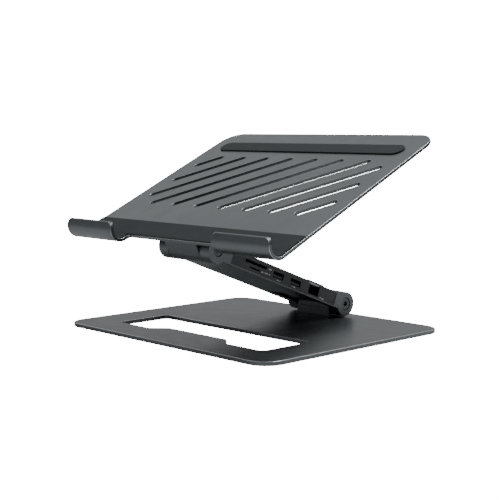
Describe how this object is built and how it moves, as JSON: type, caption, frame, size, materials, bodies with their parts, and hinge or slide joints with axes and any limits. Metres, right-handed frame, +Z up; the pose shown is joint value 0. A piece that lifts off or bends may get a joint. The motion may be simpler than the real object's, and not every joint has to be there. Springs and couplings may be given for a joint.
{
  "type": "laptop stand",
  "caption": "Folding laptop stand: a flat base plate, a hinged arm with a port hub inside, and a slotted tray with front hooks and rubber rests.",
  "frame": {"origin": "on the desk, under the centre of the base plate", "axes": "+X is right, -Y is the user's side, +Z is up"},
  "size_m": [0.241, 0.204, 0.1615],
  "materials": {
    "plate_metal": "dark grey, fine bead-blasted and anodised, with bright cut edges",
    "arm_metal": "dark grey anodised satin",
    "screw_steel": "blackened",
    "hinge_steel": "ground",
    "bolt_steel": "dark plated",
    "bush_bronze": "sintered bronze",
    "panel_plastic": "fine moulded texture",
    "port_plastic": "moulded",
    "port_metal": "nickel plated",
    "contact_metal": "gold plated",
    "board": "solder mask",
    "chip_plastic": "moulded",
    "heat_pad": "soft silicone",
    "pad_rubber": "matte silicone",
    "foot_rubber": "matte silicone"
  },
  "bodies": {
    "base": {"base_plate": "plate_metal", "base_feet": "foot_rubber", "base_bracket": "arm_metal", "base_bracket_screws": "screw_steel", "base_hinge_shaft": "hinge_steel", "base_hinge_bolts": "bolt_steel", "base_friction_discs": "bush_bronze", "base_spring_washers": "hinge_steel"},
    "arm": {"arm_shell": "arm_metal", "arm_bottom_cover": "arm_metal", "arm_cover_screws": "screw_steel", "right_port_panel": "panel_plastic", "left_port_panel": "panel_plastic", "circuit_board": "board", "board_screws": "screw_steel", "hub_chips": "chip_plastic", "heat_pad": "heat_pad", "usb_a_shells": "port_metal", "usb_a_tongues": "port_plastic", "ethernet_shield": "port_metal", "ethernet_insert": "port_plastic", "ethernet_contacts": "contact_metal", "sd_socket": "port_metal", "microsd_socket": "port_metal", "hdmi_shell": "port_metal", "hdmi_tongue": "port_plastic", "usb_c_shells": "port_metal", "usb_c_tongues": "port_plastic", "base_hinge_bushes": "bush_bronze", "tray_hinge_bushes": "bush_bronze"},
    "tray": {"tray_plate": "plate_metal", "front_pad": "pad_rubber", "hook_pads": "pad_rubber", "rear_pad": "pad_rubber", "tray_bracket": "arm_metal", "tray_bracket_screws": "screw_steel", "tray_hinge_shaft": "hinge_steel", "tray_hinge_bolts": "bolt_steel", "tray_friction_discs": "bush_bronze", "tray_spring_washers": "hinge_steel"}
  },
  "joints": [
    {"name": "base_hinge", "type": "hinge", "parent": "base", "child": "arm", "pos_m": [0, 0.0835, 0.0162], "axis": [-1, 0, 0], "range_deg": [-20.5, 30]},
    {"name": "tray_hinge", "type": "hinge", "parent": "arm", "child": "tray", "pos_m": [0, -0.06383, 0.07329], "axis": [1, 0, 0], "range_deg": [-45.7, 8]}
  ]
}
